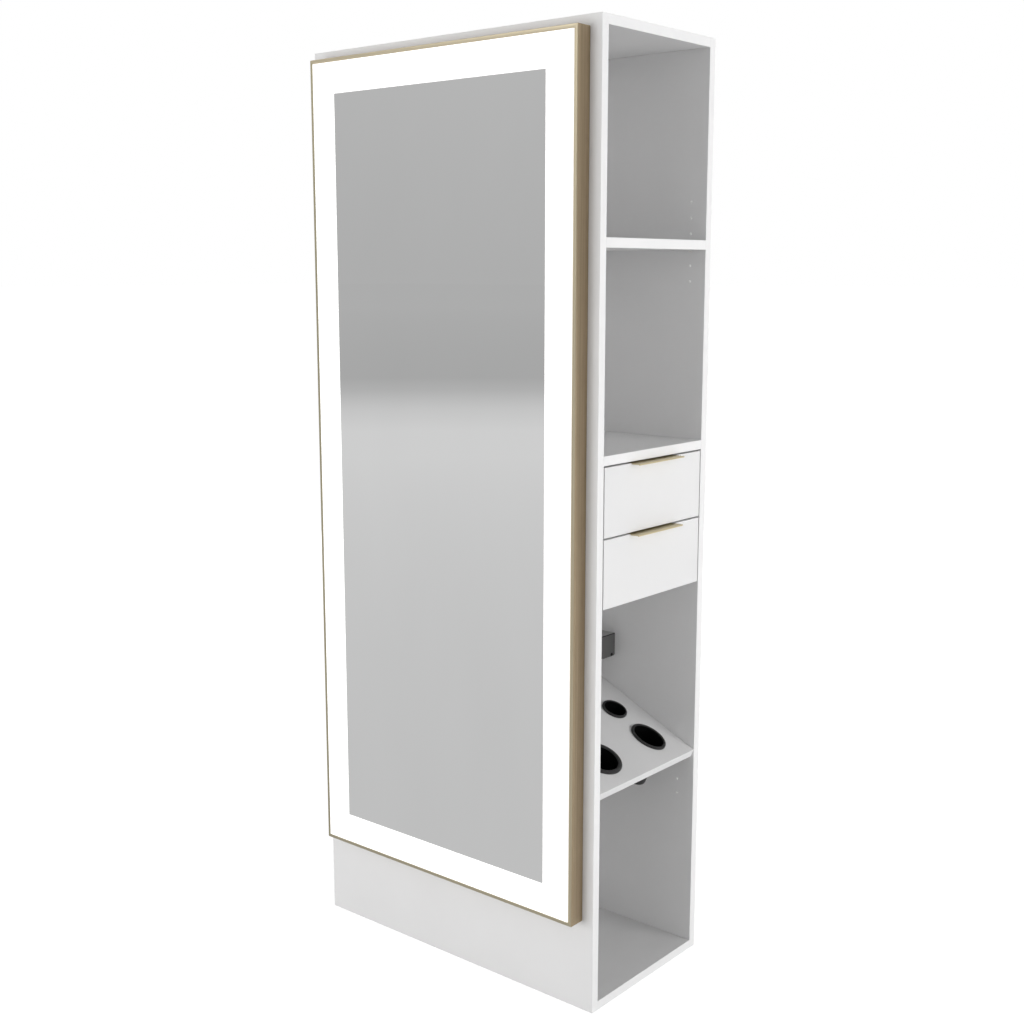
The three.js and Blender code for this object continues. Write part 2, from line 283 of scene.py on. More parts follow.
def surface(name, look):  # tone and gloss drift over the surface, and a fine grain lifts it
    finish, tree, shader = newFinish(name)
    stretch = look.get("stretch", (1, 1, 1))
    drift = noiseNode(tree, look["driftScale"], driftDetail, stretch)
    tones = rampNode(tree, drift.outputs["Fac"], list(zip(toneStops, look["tones"])))
    if "edgeGain" in look:
        tones = paintedFrontLight(tree, tones, look["edgeGain"], look["edgeReach"])
    tree.links.new(tones, shader.inputs["Base Color"])
    gloss = noiseNode(tree, look["driftScale"] * glossFiner, fineDetail, stretch)
    tree.links.new(rangeNode(tree, gloss.outputs["Fac"], *look["roughness"]), shader.inputs["Roughness"])
    grain = noiseNode(tree, look["grainScale"], fineDetail, stretch)
    bump = tree.nodes.new("ShaderNodeBump")
    bump.inputs["Strength"].default_value = look["grainStrength"]
    bump.inputs["Distance"].default_value = look["grainDepth"]
    tree.links.new(grain.outputs["Fac"], bump.inputs["Height"])
    tree.links.new(bump.outputs["Normal"], shader.inputs["Normal"])
    shader.inputs["Metallic"].default_value = look.get("metallic", 0)
    shader.inputs["Specular IOR Level"].default_value = look.get("specular", 0.5)
    return finish


laminateLook = {
    "tones": [(0.776, 0.774, 0.775), (0.796, 0.794, 0.795)],
    "driftScale": 5,
    "roughness": (0.36, 0.46),
    "grainScale": 900,
    "grainStrength": 0.05,
    "grainDepth": 0.0002,
    "specular": 0.4,
}
# painted shade: a darker laminate for the floor of the lowest bays and the tops of the tool shelves
paintedShadeLook = {**laminateLook, "tones": [(0.656, 0.654, 0.655), (0.681, 0.679, 0.68)], "driftScale": 11}
edgeBandLook = {
    "tones": [(0.841, 0.839, 0.84), (0.861, 0.859, 0.86)],
    "driftScale": 9,
    "roughness": (0.30, 0.38),
    "grainScale": 1400,
    "grainStrength": 0.03,
    "grainDepth": 0.0001,
    "specular": 0.4,
}
uprightMetalLook = {  # brushed along Z
    "tones": [(0.405, 0.314, 0.205), (0.515, 0.407, 0.272)],
    "driftScale": 1,
    "stretch": (170, 170, 1.6),
    "roughness": (0.30, 0.42),
    "grainScale": 6,
    "grainStrength": 0.12,
    "grainDepth": 0.0002,
    "metallic": 1,
}
acrossMetalLook = {**uprightMetalLook, "stretch": (1.6, 170, 170)}  # brushed along X
paintedEdgeLight = {"edgeGain": 1.26, "edgeReach": 0.009}  # painted light: how much paler, and how far back
paintedLipLight = {  # painted light: the front lip is painted paler than the sides as a painted highlight, and darker on two of its lengths as painted shade
    "pale": [(0.54, 0.47, 0.338), (0.66, 0.578, 0.415)],
    "left": [(0.416, 0.371, 0.254), (0.508, 0.457, 0.311)],
    "bottom": [(0.451, 0.402, 0.294), (0.551, 0.494, 0.361)],
}
pullGoldLook = {  # brushed along Y
    "tones": [(0.70, 0.605, 0.385), (0.775, 0.67, 0.43)],
    "driftScale": 1,
    "stretch": (400, 4, 400),
    "roughness": (0.28, 0.38),
    "grainScale": 4,
    "grainStrength": 0.10,
    "grainDepth": 0.0001,
    "metallic": 0.7,
}
# painted shade: a darker gold for the pull's flat top and ends
pullShadeLook = {**pullGoldLook, "tones": [(0.515, 0.437, 0.258), (0.595, 0.505, 0.30)]}
cupBlackLook = {
    "tones": [(0.013, 0.013, 0.013), (0.019, 0.019, 0.019)],
    "driftScale": 30,
    "roughness": (0.34, 0.46),
    "grainScale": 1600,
    "grainStrength": 0.10,
    "grainDepth": 0.0002,
}
outletGreyLook = {
    "tones": [(0.096, 0.096, 0.094), (0.106, 0.106, 0.104)],
    "driftScale": 14,
    "roughness": (0.30, 0.36),
    "grainScale": 1800,
    "grainStrength": 0.05,
    "grainDepth": 0.0001,
}
# painted light: a paler grey for the outlet box's flat top
outletPaintedLightLook = {**outletGreyLook, "tones": [(0.36, 0.36, 0.355), (0.40, 0.40, 0.395)]}
zincLook = {  # rolled along X
    "tones": [(0.60, 0.61, 0.625), (0.68, 0.685, 0.695)],
    "driftScale": 1,
    "stretch": (6, 150, 150),
    "roughness": (0.28, 0.36),
    "grainScale": 4,
    "grainStrength": 0.05,
    "grainDepth": 0.0001,
    "metallic": 1,
}
capWhiteLook = {
    "tones": [(0.90, 0.90, 0.89), (0.93, 0.93, 0.92)],
    "driftScale": 60,
    "roughness": (0.24, 0.32),
    "grainScale": 1200,
    "grainStrength": 0.03,
    "grainDepth": 0.0001,
}
nickelLook = {
    "tones": [(0.78, 0.77, 0.75), (0.86, 0.85, 0.83)],
    "driftScale": 120,
    "roughness": (0.26, 0.34),
    "grainScale": 1500,
    "grainStrength": 0.03,
    "grainDepth": 0.0001,
    "metallic": 1,
}
backingLook = {
    "tones": [(0.66, 0.66, 0.64), (0.72, 0.72, 0.70)],
    "driftScale": 14,
    "roughness": (0.5, 0.65),
    "grainScale": 500,
    "grainStrength": 0.12,
    "grainDepth": 0.0003,
}
# black for the outlet's screw, and painted shade down inside the cups and along the outlet box's top edge
blackAndPaintedShadeLook = {**cupBlackLook, "tones": [(0.003, 0.003, 0.003), (0.005, 0.005, 0.005)], "specular": 0.06}

laminate = surface("whiteLaminate", laminateLook)
edgeBand = surface("whiteEdgeBand", edgeBandLook)
paintedShade = surface("paintedShadeLaminate", paintedShadeLook)
uprightMetal = surface("champagneUpright", {**uprightMetalLook, **paintedEdgeLight})
acrossMetal = surface("champagneAcross", {**acrossMetalLook, **paintedEdgeLight})
rightLip = surface("paintedHighlightLipUpright", {**uprightMetalLook, "tones": paintedLipLight["pale"]})
topLip = surface("paintedHighlightLipAcross", {**acrossMetalLook, "tones": paintedLipLight["pale"]})
leftLip = surface("paintedShadeLipUpright", {**uprightMetalLook, "tones": paintedLipLight["left"]})
bottomLip = surface("paintedShadeLipAcross", {**acrossMetalLook, "tones": paintedLipLight["bottom"]})
pullGold = surface("paleGoldPull", pullGoldLook)
pullPaintedShade = surface("paintedShadeGoldTop", pullShadeLook)
cupBlack = surface("cupBlack", cupBlackLook)
outletGrey = surface("outletGrey", outletGreyLook)
outletPaintedLightTop = surface("outletPaintedLightTop", outletPaintedLightLook)
zinc = surface("zincSlide", zincLook)
capWhite = surface("whiteCap", capWhiteLook)
nickel = surface("nickelPin", nickelLook)
backing = surface("backingBoard", backingLook)
blackAndPaintedShade = surface("blackAndPaintedShade", blackAndPaintedShadeLook)

mirrorLook = {
    "silver": [(0.838, 0.84, 0.84), (0.852, 0.854, 0.854)],
    "hazeScale": 7,
    "hazeDetail": 4.0,
    "hazeStretch": (1, 1, 0.4),
    "roughness": 0,
}


def mirrorFinish():  # silvered glass with the faint haze of wiping
    finish, tree, shader = newFinish("silveredGlass")
    haze = noiseNode(tree, mirrorLook["hazeScale"], mirrorLook["hazeDetail"], mirrorLook["hazeStretch"])
    silver = rampNode(tree, haze.outputs["Fac"], list(zip(noiseReach, mirrorLook["silver"])))
    tree.links.new(silver, shader.inputs["Base Color"])
    shader.inputs["Roughness"].default_value = mirrorLook["roughness"]
    shader.inputs["Metallic"].default_value = 1
    return finish


litLook = {
    "glow": [(0.97, 0.965, 0.95), (1.0, 1.0, 0.99)],
    "strength": 0.62,
    "body": (0.8, 0.8, 0.79),
    "cloudScale": 3.5,
    "frostScale": 1200,
    "roughness": (0.42, 0.55),
}


def litFinish():  # frosted acrylic lit evenly from behind
    finish, tree, shader = newFinish("litAcrylic")
    cloud = noiseNode(tree, litLook["cloudScale"])
    glow = rampNode(tree, cloud.outputs["Fac"], list(zip(noiseReach, litLook["glow"])))
    tree.links.new(glow, shader.inputs["Emission Color"])
    shader.inputs["Emission Strength"].default_value = litLook["strength"]
    shader.inputs["Base Color"].default_value = (*litLook["body"], 1)
    frost = noiseNode(tree, litLook["frostScale"])
    tree.links.new(rangeNode(tree, frost.outputs["Fac"], *litLook["roughness"]), shader.inputs["Roughness"])
    return finish


mirrorSilver = mirrorFinish()
litAcrylic = litFinish()
print("finishes made:", len(bpy.data.materials))


# Boards of the cabinet and its shelves

boardSizes = {"ease": 0.0005}
axisX, axisY, axisZ = 0, 1, 2
panelFaces = {
    "front_panel": axisY,
    "back_panel": axisY,
    "top_panel": axisZ,
    "bottom_panel": axisZ,
    "centre_partition": axisX,
}


def dressBoard(board, faceAxis):  # laminate on the two faces, edge band round the edges
    paint(board, laminate, edgeBand)
    for face in board.data.polygons:
        face.material_index = 0 if abs(face.normal[faceAxis]) > facing else 1


def makeBoard(node, faceAxis):
    board = addBlock(node + "_board", *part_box(node))
    easeEdges(board, boardSizes["ease"])
    smooth(board)
    dressBoard(board, faceAxis)
    fit(board, "cabinet", "white_laminate", node)
    return board


for panel, faceAxis in panelFaces.items():
    board = makeBoard(panel, faceAxis)
    if panel == "bottom_panel":  # the floor of the lowest bays is painted darker as painted shade, as the tops of the tool shelves are
        board.data.materials[0] = paintedShade
for end in ("right", "left"):
    for shelf in ("upper_shelf", "drawer_shelf"):
        makeBoard(end + "_" + shelf, axisZ)
print("boards made")


# Pieces of the right-hand end are modelled once and copied to the left-hand end, half a turn round

def bothEnds(piece, body, slot, *nodes):  # names, body and nodes are given without their end
    name = piece.name
    copy = copyOf(piece, "left_" + name, turn=math.pi)
    piece.name = "right_" + name
    for end, part in (("right", piece), ("left", copy)):
        endBody = body if body == "cabinet" else end + "_" + body
        fit(part, endBody, slot, *[end + "_" + node for node in nodes])


# Sloping tool shelf and its cups

toolShelf = {
    "slope": math.radians(25.5),
    "thickness": 0.019,
    "overrun": 0.06,  # cut off again at the partition
    "drillReach": 0.076,
    "ease": 0.0006,
}
cups = {  # oval is how much longer down the slope; back and across are the cup's place on the shelf
    "dryer": {"rim": 0.048, "hole": 0.0384, "depth": 0.078, "oval": 1, "back": 0.076, "across": -0.0784},
    "curler": {"rim": 0.0381, "hole": 0.0324, "depth": 0.105, "oval": 1.11, "back": 0.076, "across": 0.0955},
    "iron": {"rim": 0.0288, "hole": 0.0244, "depth": 0.105, "oval": 1, "back": 0.176, "across": 0.0955},
}
cupSizes = {
    "wall": 0.003,
    "floor": 0.003,
    "lift": 0.0003,
    "rimHeight": 0.005,
    "rimRound": (0.4, 5),  # share of the rim's width, and steps
    "mouthRound": (0.3, 4),
    "footRound": (0.003, 6),  # radius and steps
    "floorRound": (0.0015, 4),
    "draft": 0.0025,  # how much narrower the moulded cup is at its foot
    "clearance": 0.0006,
    "sides": 72,
    "smoothAngle": 40,
}
shelfLow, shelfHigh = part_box("right_tool_shelf")
shelfFront = Vector((shelfHigh.x, 0, shelfLow.z + toolShelf["thickness"] * math.cos(toolShelf["slope"])))


def tilt(piece):  # from the shelf's own frame, whose origin is its front top edge, to its place
    piece.location = shelfFront
    piece.rotation_euler = (0, toolShelf["slope"], 0)
    return applyPlace(piece)


def makeToolShelf():
    depth = (shelfHigh.x - shelfLow.x) / math.cos(toolShelf["slope"]) + toolShelf["overrun"]
    board = addBlock("tool_shelf_board", (-depth, shelfLow.y, -toolShelf["thickness"]), (0, shelfHigh.y, 0))
    for cup in cups.values():
        bpy.ops.object.select_all(action="DESELECT")
        bpy.ops.mesh.primitive_cylinder_add(
            vertices=cupSizes["sides"], radius=cup["hole"] + cupSizes["wall"] + cupSizes["clearance"],
            depth=toolShelf["drillReach"], location=(-cup["back"], cup["across"], 0),
            scale=(cup["oval"], 1 / cup["oval"], 1))
        cutAway(board, newPiece("drill"))
    tilt(board)
    startEdit(board)
    bpy.ops.mesh.select_all(action="SELECT")
    bpy.ops.mesh.bisect(plane_co=(shelfLow.x, 0, 0), plane_no=(1, 0, 0), use_fill=True, clear_inner=True)
    endEdit()
    easeEdges(board, toolShelf["ease"])
    smooth(board)
    paint(board, paintedShade, laminate)
    for face in board.data.polygons:  # only the top is painted darker, as painted shade
        face.material_index = 0 if face.normal.z > leaning else 1
    bothEnds(board, "cabinet", "white_laminate", "tool_shelf")


def makeCup(name, cup):
    body = cup["hole"] + cupSizes["wall"]
    foot = body - cupSizes["draft"]
    floor = cup["hole"] - cupSizes["draft"]
    top = cupSizes["rimHeight"]
    inside = -cup["depth"] + cupSizes["floor"]
    shell = addDisc(name + "_cup", foot, -cup["depth"], cupSizes["sides"])
    startEdit(shell)
    pickAll()
    extrude(z=cup["depth"] + cupSizes["lift"])
    scaleTo(body / foot)  # outer wall
    extrude()
    scaleTo(cup["rim"] / body)  # flange
    extrude(z=top - cupSizes["lift"])
    extrude()
    scaleTo(cup["hole"] / cup["rim"])  # top of the rim
    extrude(z=inside - top)
    scaleTo(floor / cup["hole"])  # inner wall, which ends in the floor
    faceOutwards()
    rimWidth = cup["rim"] - cup["hole"]
    for radius, (share, steps) in ((cup["rim"], cupSizes["rimRound"]), (cup["hole"], cupSizes["mouthRound"])):
        ringEdges(radius, top)
        roundEdges(share * rimWidth, steps)
    ringEdges(foot, -cup["depth"])
    roundEdges(*cupSizes["footRound"])
    ringEdges(floor, inside)
    roundEdges(*cupSizes["floorRound"])
    endEdit()
    paint(shell, cupBlack, blackAndPaintedShade)
    for face in shell.data.polygons:  # painted shade: darker down inside the cup
        within = face.center.xy.length < cup["hole"] + near and inside - near < face.center.z < 0
        face.material_index = 1 if within else 0
    shell.scale = (cup["oval"], 1 / cup["oval"], 1)
    shell.location = (-cup["back"], cup["across"], 0)
    applyPlace(shell)
    tilt(shell)
    smooth(shell, cupSizes["smoothAngle"])
    bothEnds(shell, "cabinet", "black_plastic", name + "_holder")


makeToolShelf()
for cupName, cup in cups.items():
    makeCup(cupName, cup)
print("tool shelves and cups made")


# Drawers

drawerSizes = {
    "ease": 0.0006,
    "rebateGap": 0.0001,
    "wall": 0.012,
    "floor": 0.008,
    "jointGap": 0.0001,
    "boxEase": 0.0005,
}
pullSizes = {"sheet": 0.002, "arris": (0.0011, 4), "ease": 0.0004}  # the arris has a radius and steps
frontLow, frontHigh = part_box("right_upper_drawer_front")
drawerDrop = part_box("right_lower_drawer_front")[0].z - frontLow.z


def bothLevels(piece, slot, node, body=None):  # the upper drawer's piece, copied down to the lower drawer
    name = piece.name
    lower = copyOf(piece, "lower_" + name, move=(0, 0, drawerDrop))
    piece.name = "upper_" + name
    for level, part in (("upper", piece), ("lower", lower)):
        bothEnds(part, body or level + "_drawer", slot, level + "_drawer_" + node)


def makeDrawerFront():
    pullLow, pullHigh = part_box("right_upper_drawer_pull")
    rebateFloor = frontHigh.z - pullSizes["sheet"] - drawerSizes["rebateGap"]
    rebateRear = pullLow.x - drawerSizes["rebateGap"]
    rebateHalf = pullHigh.y + drawerSizes["rebateGap"]
    front = addBlock("drawer_face", frontLow, (frontHigh.x, frontHigh.y, rebateFloor))
    startEdit(front)
    for place, normal in (((rebateRear, 0, 0), (1, 0, 0)), ((0, rebateHalf, 0), (0, 1, 0)),
                          ((0, -rebateHalf, 0), (0, 1, 0))):
        cutAt(place, normal)

    def roundRebate(middle, normal):
        return normal.z > facing and (middle.x < rebateRear or abs(middle.y) > rebateHalf)

    pickFaces(roundRebate)
    extrude(z=frontHigh.z - rebateFloor)  # what stands round the rebate for the pull
    faceOutwards()
    endEdit()
    easeEdges(front, drawerSizes["ease"])
    smooth(front)
    dressBoard(front, axisX)
    bothLevels(front, "white_laminate", "front")


def makeDrawerBox():
    low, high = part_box("right_upper_drawer_box")
    wall, floor, gap = drawerSizes["wall"], drawerSizes["floor"], drawerSizes["jointGap"]
    insideY = high.y - wall - gap
    boards = [
        (low, (high.x, low.y + wall, high.z), axisY),
        ((low.x, high.y - wall, low.z), high, axisY),
        ((low.x, -insideY, low.z), (low.x + wall, insideY, high.z), axisX),
        ((high.x - wall, -insideY, low.z), (high.x, insideY, high.z), axisX),
        ((low.x + wall + gap, -insideY, low.z), (high.x - wall - gap, insideY, low.z + floor), axisZ),
    ]
    made = []
    for boardLow, boardHigh, faceAxis in boards:
        board = addBlock("drawer_board", boardLow, boardHigh)
        easeEdges(board, drawerSizes["boxEase"])
        smooth(board)
        dressBoard(board, faceAxis)
        made.append(board)
    bothLevels(joinPieces("drawer_tray", made), "white_laminate", "box")


def makePull():
    low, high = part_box("right_upper_drawer_pull")
    sheet = pullSizes["sheet"]
    pull = addBlock("drawer_tab", (low.x, low.y, high.z - sheet), high)
    startEdit(pull)
    cutAt((high.x - sheet, 0, 0), (1, 0, 0))
    pickFaces(lambda middle, normal: normal.z < -facing and middle.x > high.x - sheet)
    extrude(z=low.z - high.z + sheet)  # the lip

    def onArris(point):
        return point.x > high.x - near and point.z > high.z - near

    pickEdges(lambda start, end: onArris(start) and onArris(end))
    roundEdges(*pullSizes["arris"])
    endEdit()
    easeEdges(pull, pullSizes["ease"])
    smooth(pull)
    paint(pull, pullGold, pullPaintedShade)
    for face in pull.data.polygons:  # the flat top and the ends are painted darker, as painted shade
        face.material_index = 1 if face.normal.z > facing or abs(face.normal.y) > leaning else 0
    bothLevels(pull, "gold_pull", "pull")


makeDrawerFront()
makeDrawerBox()
makePull()
print("drawers made")


# Drawer slides: rolled channels with round-ended slots and pan-head screws

slideSizes = {
    "sheet": 0.0015,
    "bend": (0.0012, 4),  # radius and steps
    "ease": (0.0002, 1),
    "smoothAngle": 35,
    "slotPlaces": (0.22, 0.38, 0.62, 0.78),  # shares of the length
    "slotHalf": (0.007, 0.0026),
    "slotRound": (0.98, 6),  # share of its half height, and steps
    "screwPlaces": (0.1, 0.5, 0.9),
    "headRadius": 0.0038,
    "headHeight": 0.0016,
    "headRound": (0.7, 4),  # share of its height, and steps
    "headSides": 24,
    "headAngle": 40,
    "recessHalf": (0.0024, 0.0005),
    "recessDepth": 0.0009,
}


def makeScrew():  # stands on +Z, with a cross recess in its head
    height = slideSizes["headHeight"]
    recess = height - slideSizes["recessDepth"]
    share, steps = slideSizes["headRound"]
    screw = addDisc("slide_screw", slideSizes["headRadius"], 0, slideSizes["headSides"])
    startEdit(screw)
    pickAll()
    extrude(z=height)
    ringEdges(slideSizes["headRadius"], height)
    roundEdges(share * height, steps)
    faceOutwards()
    endEdit()
    longHalf, shortHalf = slideSizes["recessHalf"]
    for halfX, halfY in ((longHalf, shortHalf), (shortHalf, longHalf)):
        cutAway(screw, addBlock("recess", (-halfX, -halfY, recess), (halfX, halfY, 2 * height)))
    smooth(screw, slideSizes["headAngle"])
    paint(screw, nickel)
    return screw


def makeSlot(x, middle):  # a cutter with round ends, right through the web
    halfX, halfZ = slideSizes["slotHalf"]
    share, steps = slideSizes["slotRound"]
    through = 2 * slideSizes["sheet"]
    slot = addBlock("slot", (x - halfX, middle.y - through, middle.z - halfZ),
                    (x + halfX, middle.y + through, middle.z + halfZ))
    startEdit(slot)
    pickEdges(lambda start, end: abs(start.y - end.y) > through)
    roundEdges(share * halfZ, steps)
    endEdit()
    return slot


def makeChannel(name, node, webSide, screw):  # webSide is 1 where the web lies towards +Y, and -1 otherwise
    low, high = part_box(node)
    sheet = slideSizes["sheet"]
    outerY = high.y if webSide > 0 else low.y
    innerY = outerY - webSide * sheet
    channel = addBlock(name, (low.x, min(outerY, innerY), low.z), (high.x, max(outerY, innerY), high.z))
    startEdit(channel)
    cutAt((0, 0, low.z + sheet), (0, 0, 1))
    cutAt((0, 0, high.z - sheet), (0, 0, 1))
    middle = Vector(((low.x + high.x) / 2, (outerY + innerY) / 2, (low.z + high.z) / 2))
    halfHeight = (high.z - low.z) / 2

    def atFlange(place, normal):
        return normal.y * webSide < -facing and abs(place.z - middle.z) > halfHeight - sheet

    pickFaces(atFlange)
    extrude(y=-webSide * (high.y - low.y - sheet))  # the two flanges
    faceOutwards()

    def onBend(point):
        return abs(point.y - outerY) < near and abs(point.z - middle.z) > halfHeight - near

    pickEdges(lambda start, end: onBend(start) and onBend(end) and abs(start.x - end.x) > sheet)
    roundEdges(*slideSizes["bend"])
    endEdit()
    for share in slideSizes["slotPlaces"]:
        cutAway(channel, makeSlot(low.x + share * (high.x - low.x), middle))
    easeEdges(channel, *slideSizes["ease"])
    smooth(channel, slideSizes["smoothAngle"])
    paint(channel, zinc)
    pieces = [channel]
    for share in slideSizes["screwPlaces"]:
        head = copyOf(screw, "screw_copy")
        head.rotation_euler = (webSide * math.pi / 2, 0, 0)
        head.location = (low.x + share * (high.x - low.x), innerY, middle.z)
        pieces.append(applyPlace(head))
    return joinPieces(name, pieces)


def makeSlides():
    screw = makeScrew()
    for hand in ("left", "right"):
        for member, body in (("rail", "cabinet"), ("runner", None)):
            node = member + "_" + hand
            low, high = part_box("right_upper_drawer_" + node)
            outwards = 1 if low.y + high.y > 0 else -1
            webSide = outwards if member == "rail" else -outwards
            channel = makeChannel(node + "_channel", "right_upper_drawer_" + node, webSide, screw)
            bothLevels(channel, "slide_steel", node, body)
    bpy.data.objects.remove(screw)


makeSlides()
print("slides made")


# Mirrors: the front one is modelled and copied to the back, half a turn round

mirrorSizes = {
    "ledge": 0.008,
    "gap": 0.0001,
    "arris": (0.0015, 3),  # radius and steps
    "bandEase": 0.0004,
    "glassChamfer": (0.0003, 1),
    "glassAngle": 20,
}
frameLow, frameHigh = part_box("front_mirror_frame")
bandLow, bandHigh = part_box("front_light_band")
glassLow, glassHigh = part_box("front_mirror_glass")
frameLip = bandLow.x - frameLow.x - mirrorSizes["gap"]
bandWidth = glassLow.x - bandLow.x - mirrorSizes["gap"]


def addUpright(name, low, high, depth):  # a flat rectangle that faces -Y
    bpy.ops.object.select_all(action="DESELECT")
    middle = ((low.x + high.x) / 2, depth, (low.z + high.z) / 2)
    bpy.ops.mesh.primitive_plane_add(size=1, location=middle, rotation=(math.pi / 2, 0, 0))
    bpy.context.object.scale = (high.x - low.x, high.z - low.z, 1)
    return newPiece(name)


def startRing(name, low, high, front, back, insets):  # an open rectangle, left in edit mode
    ring = addUpright(name, low, high, front)
    startEdit(ring)
    pickAll()
    for width in insets:
        bpy.ops.mesh.inset(thickness=width)
    bpy.ops.mesh.delete(type="FACE")  # the open middle
    bpy.ops.mesh.select_all(action="SELECT")
    extrude(y=back - front)
    faceOutwards()
    return ring


def bothFaces(piece, slot, node):
    name = piece.name
    copy = copyOf(piece, "back_" + name, turn=math.pi)
    piece.name = "front_" + name
    fit(piece, "cabinet", slot, "front_" + node)
    fit(copy, "cabinet", slot, "back_" + node)


def makeFrame():
    low, high = frameLow, frameHigh
    ledgeFront = glassHigh.y + mirrorSizes["gap"]
    ring = startRing("mirror_surround", low, high, ledgeFront, high.y, (frameLip, mirrorSizes["ledge"]))

    def onLip(middle, normal):
        nearSide = high.x - abs(middle.x) < frameLip
        nearEnd = min(middle.z - low.z, high.z - middle.z) < frameLip
        return normal.y < -facing and (nearSide or nearEnd)

    pickFaces(onLip)
    extrude(y=low.y - ledgeFront)
    faceOutwards()
    endEdit()
    easeEdges(ring, *mirrorSizes["arris"])
    smooth(ring)
    paint(ring, uprightMetal, acrossMetal, rightLip, topLip, leftLip, bottomLip)
    highlightLips, shadeLips = 2, 4  # where each pair starts in that list
    middleZ = (low.z + high.z) / 2
    for face in ring.data.polygons:  # the four sides meet in mitres
        fromSide = high.x - abs(face.center.x)
        fromEnd = min(face.center.z - low.z, high.z - face.center.z)
        across = 0 if fromSide < fromEnd else 1
        # the right and top lips carry the painted highlight, the left and bottom lips the painted shade
        inShade = face.center.z < middleZ if across else face.center.x < 0
        lips = shadeLips if inShade else highlightLips
        face.material_index = across + (lips if face.normal.y < -leaning else 0)
    bothFaces(ring, "champagne_metal", "mirror_frame")


def makeBand():
    band = startRing("lit_band", bandLow, bandHigh, bandLow.y, bandHigh.y, (bandWidth,))
    endEdit()
    easeEdges(band, mirrorSizes["bandEase"])
    smooth(band)
    paint(band, litAcrylic)
    bothFaces(band, "lit_acrylic", "light_band")


def makeGlass():
    glass = addBlock("mirror_plate", glassLow, glassHigh)
    easeEdges(glass, *mirrorSizes["glassChamfer"])
    smooth(glass, mirrorSizes["glassAngle"])
    paint(glass, mirrorSilver)
    bothFaces(glass, "mirror_glass", "mirror_glass")


makeFrame()
makeBand()
makeGlass()
print("mirrors made")


# Outlet box: a rounded case with a cover plate, two plain sockets and a screw

outletSizes = {
    "corner": (0.005, 5),  # radius and steps
    "ease": 0.0012,
    "lidFlat": 0.98,  # the lid's faces look this squarely up
    "plateInset": 0.006,
    "plateLift": 0.0012,
    "plateEase": 0.45,  # share of the lift
    "plateAngle": 30,
    "socketSpread": 0.024,
    "slotHalf": (0.001, 0.004),
    "slotSpread": 0.0062,
    "slotLift": 0.005,
    "earthRadius": 0.0026,
    "earthSides": 24,
    "earthDrop": 0.007,
    "cut": 0.004,
    "cutFloor": 0.1,  # share of the lift that is left behind the sockets
    "screwRadius": 0.0038,
    "screwSides": 24,
    "screwLift": 0.0007,
    "screwRound": (0.6, 3),  # share of its lift, and steps
    "screwFromWall": 0.0128,
    "screwFromBottom": 0.0042,
}


def makeOutlet():
    low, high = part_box("right_outlet_box")
    case = addBlock("outlet_case", low, high)
    startEdit(case)
    middleZ = (low.z + high.z) / 2
    pickEdges(lambda start, end: abs(start.x - end.x) > near and start.z < middleZ)
    roundEdges(*outletSizes["corner"])
    endEdit()
    easeEdges(case, outletSizes["ease"])
    smooth(case)
    paint(case, outletGrey, outletPaintedLightTop, blackAndPaintedShade)
    for face in case.data.polygons:  # painted light and shade: the flat top is painted paler, inside a dark edge painted as shade
        atTop = high.z - face.center.z < outletSizes["ease"]
        face.material_index = (1 if face.normal.z > outletSizes["lidFlat"] else 2) if atTop else 0
    bothEnds(case, "cabinet", "grey_plastic", "outlet_box")
    makeOutletPlate(low, high)
    makeOutletScrew(low, high)


def makeOutletPlate(low, high):
    inset, lift, cut = outletSizes["plateInset"], outletSizes["plateLift"], outletSizes["cut"]
    cutFloor = low.y - outletSizes["cutFloor"] * lift
    middleX, middleZ = (low.x + high.x) / 2, (low.z + high.z) / 2
    plate = addBlock("outlet_plate", (low.x + inset, low.y - lift, low.z + inset),
                     (high.x - inset, low.y, high.z - inset))
    easeEdges(plate, outletSizes["plateEase"] * lift)
    paint(plate, cupBlack)
    halfX, halfZ = outletSizes["slotHalf"]
    slotZ = middleZ + outletSizes["slotLift"]
    for side in (-1, 1):
        socketX = middleX + side * outletSizes["socketSpread"]
        for slotSide in (-1, 1):
            slotX = socketX + slotSide * outletSizes["slotSpread"]
            cutAway(plate, addBlock("slot", (slotX - halfX, low.y - cut, slotZ - halfZ),
                                    (slotX + halfX, cutFloor, slotZ + halfZ)))
        bpy.ops.object.select_all(action="DESELECT")
        bpy.ops.mesh.primitive_cylinder_add(
            vertices=outletSizes["earthSides"], radius=outletSizes["earthRadius"], depth=cut,
            location=(socketX, cutFloor - cut / 2, middleZ - outletSizes["earthDrop"]),
            rotation=(math.pi / 2, 0, 0))
        cutAway(plate, newPiece("earth"))
    smooth(plate, outletSizes["plateAngle"])
    bothEnds(plate, "cabinet", "black_plastic")


def makeOutletScrew(low, high):
    radius, lift = outletSizes["screwRadius"], outletSizes["screwLift"]
    share, steps = outletSizes["screwRound"]
    screw = addDisc("outlet_screw", radius, 0, outletSizes["screwSides"])
    startEdit(screw)
    pickAll()
    extrude(z=lift)
    ringEdges(radius, lift)
    roundEdges(share * lift, steps)
    faceOutwards()
    endEdit()
    screw.rotation_euler = (0, math.pi / 2, 0)
    screw.location = (high.x, high.y - outletSizes["screwFromWall"], low.z + outletSizes["screwFromBottom"])
    applyPlace(screw)
    smooth(screw)
    paint(screw, blackAndPaintedShade)
    bothEnds(screw, "cabinet", "black_plastic")


makeOutlet()
print("outlet boxes made")


# Shelf pins, and the white caps in the free pin holes, on both walls of each end

